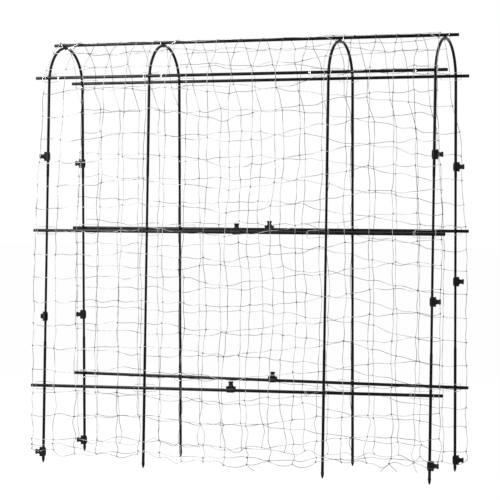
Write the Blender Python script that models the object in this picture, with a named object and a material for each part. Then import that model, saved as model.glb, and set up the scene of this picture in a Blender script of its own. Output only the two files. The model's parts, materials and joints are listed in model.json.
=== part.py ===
# Pea and bean tunnel: four push-fit hoops, seven long bars, ground spikes, snap-on net clips and a net.
# Metres, +Z up. X runs along the tunnel and -Y is its front. The spikes' tips stand at z = 0.

import math

import bmesh
import bpy
from mathutils import Matrix, Vector

MM = 0.001

# Overall sizes. The hoops' outline is their tubes' centreline.
APEX_HEIGHT = 1.800
ARCH_RADIUS = 0.166
FOOT_HALF_WIDTH = 0.207
BAR_LENGTH = 1.826
# The end hoops stand this far in from the bars' ends, and the inner ones this far from them.
LEFT_INSET, RIGHT_INSET = 0.056, 0.053
LEFT_BAY, RIGHT_BAY = 0.470, 0.450

# Hoop tubes
ARCH_TAIL = 0.403
LOWER_LEG = 0.495
HOOP_TUBE = 12.0 * MM
HOOP_WALL = 0.5 * MM
MIDDLE_WALL = 0.5 * MM
INSERTION = 50 * MM
BEAD_LENGTH = 3 * MM
TUBE_SIDES = 12
ARCH_STEPS = 16

# Bars. The middle level is midway between the others.
BAR_TUBE = 13.5 * MM
BAR_WALL = 0.5 * MM
LOWER_BAR_HEIGHT = 0.354
UPPER_BAR_ANGLE = math.radians(7.6)
# How far a bar's middle stands off its level's height, and its slope, which rises towards +X
BAR_SHIFTS = {
    ("middle", "front"): -4.5 * MM,
    ("middle", "back"): 5.5 * MM,
    ("lower", "front"): -9.5 * MM,
}
BAR_SLOPES = {("lower", "front"): math.radians(0.78)}

# Clearances
TOUCH = 0.3 * MM
PUSH_FIT = 0.3 * MM
CLIP_RUNNING = 0.3 * MM

# Ground spike
SPIKE_SHANK = 20 * MM
SPIKE_COLLAR_LIP = 1.0 * MM
SPIKE_COLLAR = 4 * MM
SPIKE_CONE = 21 * MM
SPIKE_TIP_RADIUS = 2 * MM
SPIKE_CHAMFER = 1.0 * MM

# Net clip: a jaw with flared lips, a saddle out to the shoulder and a waisted knob
CLIP_LENGTH = 39 * MM
CLIP_LIP_LENGTH = 25 * MM
CLIP_WALL = 1.8 * MM
CLIP_MOUTH = math.radians(104)
CLIP_BORE_STEPS = 8
CLIP_OUTER_STEPS = 3
CLIP_LIP_REACH = 4.0 * MM
CLIP_LIP_END_REACH = 1.0 * MM
CLIP_LIP_FLARE = 0.4
CLIP_SADDLE_WIDTH = 13 * MM
CLIP_SHOULDER = 10 * MM
CLIP_SHOULDER_FLARE = 1.0 * MM
# The knob's sections: height over the shoulder, half length along the tube, half width, corner cut
CLIP_KNOB = (
    (0.0 * MM, 14.5 * MM, 6.0 * MM, 2.5 * MM),
    (3.0 * MM, 11.0 * MM, 5.6 * MM, 2.5 * MM),
    (7.0 * MM, 9.2 * MM, 5.2 * MM, 2.0 * MM),
    (13.0 * MM, 8.8 * MM, 5.2 * MM, 2.0 * MM),
    (15.0 * MM, 10.4 * MM, 7.0 * MM, 2.5 * MM),
    (19.5 * MM, 10.0 * MM, 7.0 * MM, 2.5 * MM),
    (20.5 * MM, 9.0 * MM, 6.0 * MM, 2.5 * MM),
)

# Clips on the end hoops' legs: the hoop and side, then the upper clip's share of the bay over the
# middle bar, the middle clip's share of the bay over the lower bar, and the lower clip's gap over
# the tube's foot.
LEG_CLIPS = (
    (1, "front", 0.484, 0.424, 1.2 * MM),
    (1, "back", 0.453, 0.409, 7.0 * MM),
    (4, "front", 0.484, 0.578, 30.0 * MM),
    (4, "back", 0.422, 0.685, 5.0 * MM),
)
# A knob points straight out of the tunnel's end, or it is turned this far towards the inside.
CLIP_TURNS = {"1_front_upper": math.radians(-20), "1_front_middle": math.radians(36)}

# Clips on the bars, with their places along them. Their knobs point up.
BAR_CLIPS = (
    ("middle", "front", 0.024),
    ("middle", "back", 0.028),
    ("lower", "front", 0.010),
    ("lower", "back", 0.042),
)

# Net. Its strands are fewer than the real net's, which has a 100 mm mesh.
NET_INSET = 13 * MM
NET_COLUMNS = 11
NET_ROWS_BETWEEN_BARS = 4
NET_HEM_HEIGHT = 28 * MM
NET_STRAND = 1.2 * MM
NET_SEAM = 0.3 * MM

# What follows is worked out from the sizes above.
HOOP_RADIUS = HOOP_TUBE / 2
HOOP_BORE = HOOP_RADIUS - HOOP_WALL
MIDDLE_RADIUS = HOOP_BORE - PUSH_FIT
MIDDLE_BORE = MIDDLE_RADIUS - MIDDLE_WALL
BAR_RADIUS = BAR_TUBE / 2
BAR_BORE = BAR_RADIUS - BAR_WALL
STRAND_RADIUS = NET_STRAND / 2
HOOP_STATIONS = (
    -BAR_LENGTH / 2 + LEFT_INSET,
    -BAR_LENGTH / 2 + LEFT_INSET + LEFT_BAY,
    BAR_LENGTH / 2 - RIGHT_INSET - RIGHT_BAY,
    BAR_LENGTH / 2 - RIGHT_INSET,
)
SIDES = {"front": -1, "back": 1}

# The legs are tangents to the arch, so their splay follows from the foot's width.
ARCH_CENTRE = APEX_HEIGHT - ARCH_RADIUS
SPLAY = math.atan2(FOOT_HALF_WIDTH, ARCH_CENTRE) - math.asin(
    ARCH_RADIUS / math.hypot(ARCH_CENTRE, FOOT_HALF_WIDTH)
)

# Heights on the hoops
FOOT_HEIGHT = (TOUCH + SPIKE_COLLAR + SPIKE_CONE) * math.cos(SPLAY)
LOWER_JOINT_HEIGHT = FOOT_HEIGHT + LOWER_LEG * math.cos(SPLAY)
ARCH_END_HEIGHT = ARCH_CENTRE + ARCH_RADIUS * math.sin(SPLAY) - ARCH_TAIL * math.cos(SPLAY)
UPPER_BAR_HEIGHT = ARCH_CENTRE + ARCH_RADIUS * math.sin(UPPER_BAR_ANGLE)
MIDDLE_BAR_HEIGHT = (LOWER_BAR_HEIGHT + UPPER_BAR_HEIGHT) / 2

# The bars lie on the outside of the hoops, and the net lies on the bars.
BAR_OFFSET = HOOP_RADIUS + TOUCH + BAR_RADIUS
NET_REST = BAR_RADIUS + TOUCH + STRAND_RADIUS


# Places on the hoops


def leg_point(side, height, outwards=0.0):
    # The point of the leg's centreline at this height, or a point this far outside of it.
    half_width = FOOT_HALF_WIDTH - height * math.tan(SPLAY)
    y = side * (half_width + outwards * math.cos(SPLAY))
    return Vector((0, y, height + outwards * math.sin(SPLAY)))


def arch_point(side, angle, radius):
    y = side * radius * math.cos(angle)
    return Vector((0, y, ARCH_CENTRE + radius * math.sin(angle)))


def leg_frame(side, height):
    # Z runs up the leg and X along the tunnel.
    return Matrix.Translation(leg_point(side, height)) @ Matrix.Rotation(side * SPLAY, 4, "X")


def bar_frame(level, name):
    # The origin is the bar's middle and X runs along it. A sloping bar stays against the legs.
    side = SIDES[name]
    if level in ("ridge", "upper"):
        angle = math.pi / 2 if level == "ridge" else UPPER_BAR_ANGLE
        return Matrix.Translation(arch_point(side, angle, ARCH_RADIUS + BAR_OFFSET))
    height = {"middle": MIDDLE_BAR_HEIGHT, "lower": LOWER_BAR_HEIGHT}[level]
    height += BAR_SHIFTS.get((level, name), 0)
    slope = -side * BAR_SLOPES.get((level, name), 0)
    outwards = leg_point(side, 0, 1) - leg_point(side, 0)
    return Matrix.Translation(leg_point(side, height, BAR_OFFSET)) @ Matrix.Rotation(
        slope, 4, outwards
    )


# Materials and objects


def make_material(name, colour, roughness, metallic=0.0):
    material = bpy.data.materials.new(name)
    material.use_nodes = True
    shader = material.node_tree.nodes["Principled BSDF"]
    shader.inputs["Base Color"].default_value = (*colour, 1)
    shader.inputs["Roughness"].default_value = roughness
    shader.inputs["Metallic"].default_value = metallic
    return material


def face_outwards(bm):
    bmesh.ops.recalc_face_normals(bm, faces=bm.faces)


def finish_mesh(bm, name, material):
    mesh = bpy.data.meshes.new(name)
    bm.to_mesh(mesh)
    bm.free()
    mesh.materials.append(material)
    mesh.shade_smooth()
    mesh.set_sharp_from_angle(angle=math.radians(40))
    return mesh


def place(name, mesh, matrix):
    piece = bpy.data.objects.new(name, mesh)
    piece.matrix_world = matrix
    bpy.context.scene.collection.objects.link(piece)


# Shaping


def revolve(profile, closed):
    # Turns a profile of (radius, height) about Z. An open profile's two ends get flat caps.
    bm = bmesh.new()
    corners = [bm.verts.new((radius, 0, z)) for radius, z in profile]
    edges = [bm.edges.new(pair) for pair in zip(corners, corners[1:])]
    if closed:
        edges.append(bm.edges.new((corners[-1], corners[0])))
    bmesh.ops.spin(
        bm, geom=corners + edges, axis=(0, 0, 1), angle=2 * math.pi, steps=TUBE_SIDES
    )
    bmesh.ops.remove_doubles(bm, verts=bm.verts, dist=0.01 * MM)
    rims = [edge for edge in bm.edges if edge.is_boundary]
    bmesh.ops.holes_fill(bm, edges=rims, sides=TUBE_SIDES)
    face_outwards(bm)
    return bm


def tube(radius, bore, low, high):
    return revolve([(radius, low), (radius, high), (bore, high), (bore, low)], closed=True)


def bridge(bm, first, second):
    for i, corner in enumerate(first):
        after = (i + 1) % len(first)
        bm.faces.new((corner, first[after], second[after], second[i]))


# Hoop tubes


def arch_mesh(material):
    # The tube's ring-shaped end is swept up the front tail, over the arch and down the back tail.
    bm = bmesh.new()
    start = leg_frame(-1, ARCH_END_HEIGHT)
    up = start.to_3x3() @ Vector((0, 0, ARCH_TAIL))
    down = Vector((0, up.y, -up.z))
    outside, bore = (
        bmesh.ops.create_circle(bm, segments=TUBE_SIDES, radius=radius, matrix=start)["verts"]
        for radius in (HOOP_RADIUS, HOOP_BORE)
    )
    bridge(bm, outside, bore)

    def extrude(end, step):
        end = bmesh.ops.extrude_face_region(bm, geom=end)["geom"]
        moved = [item for item in end if isinstance(item, bmesh.types.BMVert)]
        bmesh.ops.translate(bm, verts=moved, vec=step)
        return end

    end = extrude(bm.verts[:] + bm.edges[:] + bm.faces[:], up)
    end = bmesh.ops.spin(
        bm,
        geom=end,
        cent=(0, 0, ARCH_CENTRE),
        axis=(-1, 0, 0),
        angle=math.pi - 2 * SPLAY,
        steps=ARCH_STEPS,
    )["geom_last"]
    extrude(end, down)
    face_outwards(bm)
    return finish_mesh(bm, "hoop_arch", material)


def middle_leg_mesh(material):
    # The tube's ends slide into the arch and the lower tube, as far as a rolled bead.
    joint_gap = (ARCH_END_HEIGHT - LOWER_JOINT_HEIGHT) / math.cos(SPLAY)
    profile = [(MIDDLE_BORE, -INSERTION), (MIDDLE_RADIUS, -INSERTION)]
    for bead in (TOUCH, joint_gap - TOUCH - BEAD_LENGTH):
        profile += [
            (MIDDLE_RADIUS, bead),
            (HOOP_RADIUS, bead),
            (HOOP_RADIUS, bead + BEAD_LENGTH),
            (MIDDLE_RADIUS, bead + BEAD_LENGTH),
        ]
    profile += [(MIDDLE_RADIUS, joint_gap + INSERTION), (MIDDLE_BORE, joint_gap + INSERTION)]
    return finish_mesh(revolve(profile, closed=True), "middle_leg", material)


def lower_leg_mesh(material):
    return finish_mesh(tube(HOOP_RADIUS, HOOP_BORE, 0, LOWER_LEG), "lower_leg", material)


def spike_mesh(side, material):
    # The tube's foot is at z = 0 here. The tip is cut level with the ground.
    collar = HOOP_RADIUS + SPIKE_COLLAR_LIP
    profile = (
        (MIDDLE_RADIUS - SPIKE_CHAMFER, SPIKE_SHANK),
        (MIDDLE_RADIUS, SPIKE_SHANK - SPIKE_CHAMFER),
        (MIDDLE_RADIUS, -TOUCH),
        (collar, -TOUCH),
        (collar, -TOUCH - SPIKE_COLLAR),
        (SPIKE_TIP_RADIUS, -TOUCH - SPIKE_COLLAR - SPIKE_CONE),
    )
    bm = revolve(profile, closed=False)
    for corner in bm.verts:
        if corner.co.z < -TOUCH - SPIKE_COLLAR - SPIKE_CONE / 2:
            corner.co.z -= side * corner.co.y * math.tan(SPLAY)
    return finish_mesh(bm, "ground_spike", material)


def bar_mesh(material):
    return finish_mesh(
        tube(BAR_RADIUS, BAR_BORE, -BAR_LENGTH / 2, BAR_LENGTH / 2), "bar", material
    )


# Net clip


def clip_section(tube_radius, lip_reach):
    # Seen along the tube, with the knob towards +X: from one corner of the shoulder round the jaw's
    # outside to its lip, back through the bore, and round the other way to the other corner.
    wrap = math.pi - CLIP_MOUTH / 2
    bore = (tube_radius + CLIP_RUNNING) / math.cos(wrap / CLIP_BORE_STEPS)
    outside = bore + CLIP_WALL
    half_width = CLIP_SADDLE_WIDTH / 2
    root = math.asin(min(1, half_width / outside))
    lip = Vector((-1, CLIP_LIP_FLARE)) * lip_reach

    def on_circle(radius, angle):
        return Vector((radius * math.cos(angle), radius * math.sin(angle)))

    half = [Vector((tube_radius + CLIP_SHOULDER, half_width))]
    for step in range(CLIP_OUTER_STEPS + 1):
        half.append(on_circle(outside, root + (wrap - root) * step / CLIP_OUTER_STEPS))
    half += [half[-1] + lip, on_circle(bore, wrap) + lip]
    inside = []
    for step in range(CLIP_BORE_STEPS + 1):
        inside.append(on_circle(bore, wrap - 2 * wrap * step / CLIP_BORE_STEPS))
    return half + inside + [Vector((point.x, -point.y)) for point in reversed(half)]


def clip_mesh(tube_radius, material):
    # Along Z, the tube's axis, the lips are longest in the middle and the shoulder flares at its ends.
    half_length, half_lip = CLIP_LENGTH / 2, CLIP_LIP_LENGTH / 2
    stations = (
        (-half_length, CLIP_LIP_END_REACH, -CLIP_SHOULDER_FLARE),
        (-half_lip, CLIP_LIP_REACH, 0),
        (half_lip, CLIP_LIP_REACH, 0),
        (half_length, CLIP_LIP_END_REACH, CLIP_SHOULDER_FLARE),
    )
    bm = bmesh.new()
    rings = []
    for z, reach, flare in stations:
        section = clip_section(tube_radius, reach)
        ring = [bm.verts.new((point.x, point.y, z)) for point in section]
        ring[0].co.z += flare
        ring[-1].co.z += flare
        rings.append(ring)
    for first, second in zip(rings, rings[1:]):
        for i in range(len(first) - 1):
            bm.faces.new((first[i], first[i + 1], second[i + 1], second[i]))
    bm.faces.new(rings[0])
    bm.faces.new(rings[-1])

    # The eight corners of the shoulder's rim run on up the knob as its eight edges.
    rim = [ring[0] for ring in rings] + [ring[-1] for ring in reversed(rings)]
    for rise, along, across, cut in CLIP_KNOB:
        quarter = ((-along, across - cut), (cut - along, across))
        half = quarter + tuple((-z, y) for z, y in reversed(quarter))
        outline = half + tuple((z, -y) for z, y in reversed(half))
        ring = [bm.verts.new((tube_radius + CLIP_SHOULDER + rise, y, z)) for z, y in outline]
        bridge(bm, rim, ring)
        rim = ring
    bm.faces.new(rim)
    face_outwards(bm)
    return finish_mesh(bm, "net_clip", material)


def clip_tube_radius(height):
    # A clip that reaches a joint's bead or a wide tube is one for the wide tube.
    half = CLIP_LENGTH / 2
    over_lower_joint = height - half > LOWER_JOINT_HEIGHT + TOUCH + BEAD_LENGTH
    under_arch = height + half < ARCH_END_HEIGHT - TOUCH - BEAD_LENGTH
    return MIDDLE_RADIUS if over_lower_joint and under_arch else HOOP_RADIUS


# Net


def net_heights():
    # The level strands on the tunnel's sides. The bars lie midway between two of them.
    pitch = (MIDDLE_BAR_HEIGHT - LOWER_BAR_HEIGHT) / NET_ROWS_BETWEEN_BARS
    heights = [MIDDLE_BAR_HEIGHT + pitch / 2]
    while heights[0] - pitch > NET_HEM_HEIGHT + pitch / 4:
        heights.insert(0, heights[0] - pitch)
    while heights[-1] + pitch < UPPER_BAR_HEIGHT - pitch / 4:
        heights.append(heights[-1] + pitch)
    return [NET_HEM_HEIGHT, *heights]


def net_strips():
    # Each strip's name and the points that its level strands pass through, up from its lower edge.
    net_offset = BAR_OFFSET + NET_REST
    half_bend = (math.pi / 2 - UPPER_BAR_ANGLE) / 4
    roof_radius = ARCH_RADIUS + BAR_OFFSET + NET_REST / math.cos(half_bend)
    haunch = (math.pi / 2 + UPPER_BAR_ANGLE) / 2
    strips = []
    for name, side in SIDES.items():
        wall = [leg_point(side, height, net_offset) for height in net_heights()]
        roof = [arch_point(side, angle, roof_radius) for angle in (UPPER_BAR_ANGLE, haunch)]
        strips.append(("net_" + name, wall))
        strips.append(("net_roof_" + name, [wall[-1], *roof]))
    ridge = arch_point(1, math.pi / 2, roof_radius)
    haunches = [arch_point(side, haunch, roof_radius) for side in (-1, 1)]
    strips.append(("net_roof_top", [haunches[0], ridge, haunches[1]]))
    return strips


def pulled_in(points, distance, first=True, last=True):
    # The same line of points with its ends moved along it.
    points = [point.copy() for point in points]
    if first:
        points[0] += (points[1] - points[0]).normalized() * distance
    if last:
        points[-1] += (points[-2] - points[-1]).normalized() * distance
    return points


def net_mesh(name, points, material):
    # A grid with a border half a strand wide, whose openings are inset and cut away. The middle
    # lines of what is left are then raised on one face and lowered on the other.
    net_length = BAR_LENGTH - 2 * NET_INSET
    xs = [-net_length / 2 + net_length * i / NET_COLUMNS for i in range(NET_COLUMNS + 1)]
    xs = [xs[0] - STRAND_RADIUS, *xs, xs[-1] + STRAND_RADIUS]
    lower_edge = points[0] - (points[1] - points[0]).normalized() * STRAND_RADIUS
    upper_edge = points[-1] - (points[-2] - points[-1]).normalized() * STRAND_RADIUS
    points = [lower_edge, *points, upper_edge]

    bm = bmesh.new()
    rows = [[bm.verts.new((x, point.y, point.z)) for x in xs] for point in points]
    openings = []
    for j in range(len(rows) - 1):
        for i in range(len(xs) - 1):
            corners = (rows[j][i], rows[j][i + 1], rows[j + 1][i + 1], rows[j + 1][i])
            face = bm.faces.new(corners)
            if 0 < i < len(xs) - 2 and 0 < j < len(rows) - 2:
                openings.append(face)
    bm.normal_update()
    middles = {corner: corner.normal.copy() for row in rows[1:-1] for corner in row[1:-1]}
    bmesh.ops.inset_individual(bm, faces=openings, thickness=STRAND_RADIUS, use_even_offset=True)
    bmesh.ops.delete(bm, geom=openings, context="FACES_ONLY")

    copied = bmesh.ops.duplicate(bm, geom=bm.verts[:] + bm.edges[:] + bm.faces[:])
    underside = [item for item in copied["geom"] if isinstance(item, bmesh.types.BMFace)]
    bmesh.ops.reverse_faces(bm, faces=underside)
    for corner, normal in middles.items():
        corner.co += normal * STRAND_RADIUS
        copied["vert_map"][corner].co -= normal * STRAND_RADIUS
    bmesh.ops.remove_doubles(bm, verts=bm.verts, dist=0.01 * MM)
    return finish_mesh(bm, name, material)


# The whole tunnel


def build_hoops(steel, plastic):
    arch = arch_mesh(steel)
    middle_leg = middle_leg_mesh(steel)
    lower_leg = lower_leg_mesh(steel)
    for number, x in enumerate(HOOP_STATIONS, 1):
        along = Matrix.Translation((x, 0, 0))
        place(f"hoop_arch_{number}", arch, along)
        for name, side in SIDES.items():
            place(
                f"middle_leg_{name}_{number}",
                middle_leg,
                along @ leg_frame(side, LOWER_JOINT_HEIGHT),
            )
            foot = along @ leg_frame(side, FOOT_HEIGHT)
            place(f"lower_leg_{name}_{number}", lower_leg, foot)
            place(f"ground_spike_{name}_{number}", spike_mesh(side, plastic), foot)


def build_bars(steel):
    bar = bar_mesh(steel)
    lengthways = Matrix.Rotation(math.pi / 2, 4, "Y")
    place("ridge_bar", bar, bar_frame("ridge", "back") @ lengthways)
    for level in ("upper", "middle", "lower"):
        for name in SIDES:
            place(f"{level}_bar_{name}", bar, bar_frame(level, name) @ lengthways)


def leg_clip_places():
    # Each leg clip's name, hoop, side and height.
    upper_bay = UPPER_BAR_HEIGHT - MIDDLE_BAR_HEIGHT
    lower_bay = MIDDLE_BAR_HEIGHT - LOWER_BAR_HEIGHT
    for hoop, name, upper, middle, foot_gap in LEG_CLIPS:
        heights = {
            "upper": MIDDLE_BAR_HEIGHT + upper * upper_bay,
            "middle": LOWER_BAR_HEIGHT + middle * lower_bay,
            "lower": FOOT_HEIGHT + (foot_gap + CLIP_LENGTH / 2) * math.cos(SPLAY),
        }
        for level, height in heights.items():
            yield f"{hoop}_{name}_{level}", hoop, SIDES[name], height


def build_clips(plastic):
    meshes = {}

    def clip_for(radius):
        if radius not in meshes:
            meshes[radius] = clip_mesh(radius, plastic)
        return meshes[radius]

    for name, hoop, side, height in leg_clip_places():
        # The knob points to -X on the first hoop and to +X on the last.
        outwards, turn_sign = (math.pi, side) if hoop == 1 else (0, -side)
        turn = outwards + turn_sign * CLIP_TURNS.get(name, 0)
        station = Matrix.Translation((HOOP_STATIONS[hoop - 1], 0, 0))
        place(
            f"net_clip_hoop_{name}",
            clip_for(clip_tube_radius(height)),
            station @ leg_frame(side, height) @ Matrix.Rotation(turn, 4, "Z"),
        )

    # On a bar, the clip's own Z runs along the tunnel and its X is up.
    upright = Matrix(((0, 0, 1), (0, -1, 0), (1, 0, 0))).to_4x4()
    for level, name, x in BAR_CLIPS:
        place(
            f"net_clip_{level}_bar_{name}",
            clip_for(BAR_RADIUS),
            bar_frame(level, name) @ Matrix.Translation((x, 0, 0)) @ upright,
        )


def build_net(twine):
    # Neighbouring strips keep a hair's gap, half of it from each.
    half_seam = STRAND_RADIUS + NET_SEAM / 2
    for name, points in net_strips():
        points = pulled_in(points, half_seam, first="roof" in name)
        place(name, net_mesh(name, points, twine), Matrix())


def main():
    for old in list(bpy.data.objects):
        bpy.data.objects.remove(old, do_unlink=True)
    steel = make_material("coated_steel", (0.018, 0.018, 0.020), 0.42)
    plastic = make_material("black_plastic", (0.014, 0.014, 0.015), 0.5)
    twine = make_material("net_twine", (0.60, 0.66, 0.58), 0.6)
    build_hoops(steel, plastic)
    build_bars(steel)
    build_clips(plastic)
    build_net(twine)


main()
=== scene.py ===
import json
import math
import random

import bmesh
import bpy
from bmesh.types import BMEdge, BMFace, BMVert
from mathutils import Matrix, Vector, noise


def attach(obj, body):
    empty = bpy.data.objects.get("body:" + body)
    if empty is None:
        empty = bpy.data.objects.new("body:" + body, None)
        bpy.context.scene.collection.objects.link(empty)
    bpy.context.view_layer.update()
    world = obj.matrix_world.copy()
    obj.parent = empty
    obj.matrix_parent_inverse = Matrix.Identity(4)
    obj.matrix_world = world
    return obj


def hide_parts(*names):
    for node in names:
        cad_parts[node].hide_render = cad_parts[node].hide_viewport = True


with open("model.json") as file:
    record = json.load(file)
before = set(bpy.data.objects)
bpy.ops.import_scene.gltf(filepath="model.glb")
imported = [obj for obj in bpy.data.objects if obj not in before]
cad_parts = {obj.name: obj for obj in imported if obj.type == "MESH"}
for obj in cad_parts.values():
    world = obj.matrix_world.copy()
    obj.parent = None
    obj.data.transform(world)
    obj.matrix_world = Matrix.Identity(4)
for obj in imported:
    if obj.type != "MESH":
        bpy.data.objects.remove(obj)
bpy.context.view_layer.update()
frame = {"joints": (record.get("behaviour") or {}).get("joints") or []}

# The looks of the pea and bean tunnel. Metres, Z up, X along the tunnel, the front towards -Y.
mm = 0.001
hair = 0.01 * mm  # Closer than this is the same place.
mergeDistance = 0.002 * mm
mainBody = "frame_and_net"
sides = {"front": -1, "back": 1}
random.seed(11)


# Shared node work

def node(tree, kind, inputs=None, **settings):
    made = tree.nodes.new("ShaderNode" + kind)
    for name, value in settings.items():
        setattr(made, name, value)
    for name, value in (inputs or {}).items():
        socket = made.inputs[name]
        if isinstance(value, bpy.types.NodeSocket):
            tree.links.new(value, socket)
        else:
            socket.default_value = value
    return made


def mixColour(tree, factor, first, second, blend="MIX"):
    made = node(tree, "Mix", {0: factor, 6: first, 7: second}, data_type="RGBA", blend_type=blend)
    return made.outputs[2]


def remap(tree, value, low, high, newLow=0.0, newHigh=1.0):
    made = node(tree, "MapRange", {0: value, 1: low, 2: high, 3: newLow, 4: newHigh})
    made.interpolation_type = "SMOOTHSTEP"
    return made.outputs[0]


def combine(tree, operation, first, second):
    return node(tree, "Math", {0: first, 1: second}, operation=operation).outputs[0]


def newGroup(name, inputs, outputs):
    group = bpy.data.node_groups.new(name, "ShaderNodeTree")
    for label, value in inputs.items():
        socket = group.interface.new_socket(label, in_out="INPUT", socket_type="NodeSocketFloat")
        socket.default_value = value
    for label in outputs:
        group.interface.new_socket(label, in_out="OUTPUT", socket_type="NodeSocketFloat")
    return group, group.nodes.new("NodeGroupInput"), group.nodes.new("NodeGroupOutput")


def useGroup(tree, group, **values):
    made = tree.nodes.new("ShaderNodeGroup")
    made.node_tree = group
    for name, value in values.items():
        made.inputs[name].default_value = value
    return made


wear = {
    "toneSpan": (0.32, 0.68),
    "scratchBend": 9.0,
    "scratchWidth": 0.035,
    "rubbedScale": 23.0,
    "rubbedSpan": (0.52, 0.66),
    "dustFacing": (0.25, 1.0),
    "dustScale": 60.0,
    "dustSpan": (0.4, 0.7),
}


def makeGrainGroup():
    # Fine skin of a coating or a moulding, and its slow change of tone
    group, given, out = newGroup("surfaceGrain", {"Scale": 900.0, "Slow": 14.0}, ["Height", "Tone"])
    place = node(group, "TexCoord").outputs["Object"]
    fine = node(group, "TexNoise", {"Vector": place, "Scale": given.outputs["Scale"], "Detail": 3.0})
    slow = node(group, "TexNoise", {"Vector": place, "Scale": given.outputs["Slow"], "Detail": 5.0})
    group.links.new(fine.outputs[0], out.inputs["Height"])
    group.links.new(remap(group, slow.outputs[0], *wear["toneSpan"]), out.inputs["Tone"])
    return group


def makeScuffGroup():
    # Short scratches that run every way, and rubbed patches
    group, given, out = newGroup("scuffs", {"Scale": 55.0, "Amount": 0.5}, ["Scratch", "Rub"])
    place = node(group, "TexCoord").outputs["Object"]
    bent = node(group, "TexNoise", {"Vector": place, "Scale": wear["scratchBend"], "Detail": 2.0})
    warped = node(group, "VectorMath", {0: place, 1: bent.outputs[1]}, operation="ADD")
    lines = node(
        group,
        "TexVoronoi",
        {"Vector": warped.outputs[0], "Scale": given.outputs["Scale"]},
        feature="DISTANCE_TO_EDGE",
    )
    patchy = node(group, "TexNoise", {"Vector": place, "Scale": wear["rubbedScale"], "Detail": 4.0})
    thin = remap(group, lines.outputs[0], 0.0, wear["scratchWidth"], 1.0, 0.0)
    here = remap(group, patchy.outputs[0], *wear["rubbedSpan"])
    both = combine(group, "MULTIPLY", thin, here)
    scratch = combine(group, "MULTIPLY", both, given.outputs["Amount"])
    rub = combine(group, "MULTIPLY", here, given.outputs["Amount"])
    group.links.new(scratch, out.inputs["Scratch"])
    group.links.new(rub, out.inputs["Rub"])
    return group


def makeDustGroup():
    # Settled dust on what faces up, in blotches
    group, given, out = newGroup("settledDust", {"Amount": 0.3}, ["Mask"])
    facing = node(group, "SeparateXYZ", {0: node(group, "NewGeometry").outputs["Normal"]})
    upwards = remap(group, facing.outputs[2], *wear["dustFacing"])
    place = node(group, "TexCoord").outputs["Object"]
    blotch = node(group, "TexNoise", {"Vector": place, "Scale": wear["dustScale"], "Detail": 5.0})
    blotchy = remap(group, blotch.outputs[0], *wear["dustSpan"])
    both = combine(group, "MULTIPLY", upwards, blotchy)
    mask = combine(group, "MULTIPLY", both, given.outputs["Amount"])
    group.links.new(mask, out.inputs["Mask"])
    return group


grainGroup, scuffGroup, dustGroup = makeGrainGroup(), makeScuffGroup(), makeDustGroup()


def newMaterial(name, sockets):
    material = bpy.data.materials.new(name)
    material.use_nodes = True
    tree = material.node_tree
    shader = tree.nodes["Principled BSDF"]
    for label, value in sockets.items():
        shader.inputs[label].default_value = value
    return material, tree, shader


def dress(tree, shader, colour, rough, height, relief):
    # A finish's colour, roughness and fine relief, which is a strength and a depth
    tree.links.new(colour, shader.inputs["Base Color"])
    tree.links.new(rough, shader.inputs["Roughness"])
    bump = node(tree, "Bump", {"Height": height, "Strength": relief[0], "Distance": relief[1]})
    tree.links.new(bump.outputs[0], shader.inputs["Normal"])


# Materials, with what a user would change in each one's dictionary

coatedSteelLook = {
    "name": "coatedSteel",
    "shader": {"Specular IOR Level": 0.08},
    "first": (0.0012, 0.0012, 0.0014, 1),
    "second": (0.0042, 0.0042, 0.0046, 1),
    "worn": (0.04, 0.04, 0.042, 1),
    "dust": (0.07, 0.068, 0.063, 1),
    "dustAmount": 0.22,
    "roughness": (0.22, 0.33),
    "grain": {"Scale": 1300.0, "Slow": 17.0},
    "scuffs": {"Scale": 70.0, "Amount": 0.55},
    "relief": (0.22, 0.12 * mm),
}
bareSteelLook = {
    "name": "bareSteel",
    "shader": {"Metallic": 1.0},
    "first": (0.46, 0.46, 0.47, 1),
    "second": (0.20, 0.18, 0.16, 1),
    "roughness": (0.28, 0.5),
    "grain": {"Scale": 700.0, "Slow": 160.0},
    "relief": (0.15, 0.05 * mm),
}
springWireLook = {
    "name": "galvanisedWire",
    "shader": {"Metallic": 1.0},
    "first": (0.62, 0.63, 0.64, 1),
    "second": (0.33, 0.335, 0.35, 1),
    "roughness": (0.22, 0.42),
    "grain": {"Scale": 1500.0, "Slow": 260.0},
    "relief": (0.2, 0.03 * mm),
}
mouldedSkin = {
    "grain": {"Scale": 1900.0, "Slow": 120.0},
    "scuffs": {"Scale": 240.0, "Amount": 0.6},
    "wornEdge": (0.515, 0.58, 0.0, 0.55),
    "relief": (0.30, 0.08 * mm),
}
clipPlasticLook = {
    **mouldedSkin,
    "name": "mouldedClipPlastic",
    "shader": {"Specular IOR Level": 0.10},
    "first": (0.0012, 0.0012, 0.0013, 1),
    "second": (0.0045, 0.0045, 0.0048, 1),
    "worn": (0.035, 0.035, 0.036, 1),
    "dust": (0.10, 0.097, 0.09, 1),
    "dustAmount": 0.18,
    "roughness": (0.36, 0.52),
}
spikePlasticLook = {
    **mouldedSkin,
    "name": "mouldedSpikePlastic",
    "shader": {"Specular IOR Level": 0.07},
    "first": (0.003, 0.003, 0.003, 1),
    "second": (0.008, 0.0077, 0.0072, 1),
    "worn": (0.05, 0.049, 0.046, 1),
    "dust": (0.17, 0.15, 0.12, 1),
    "dustAmount": 0.35,
    "roughness": (0.46, 0.66),
}


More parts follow.
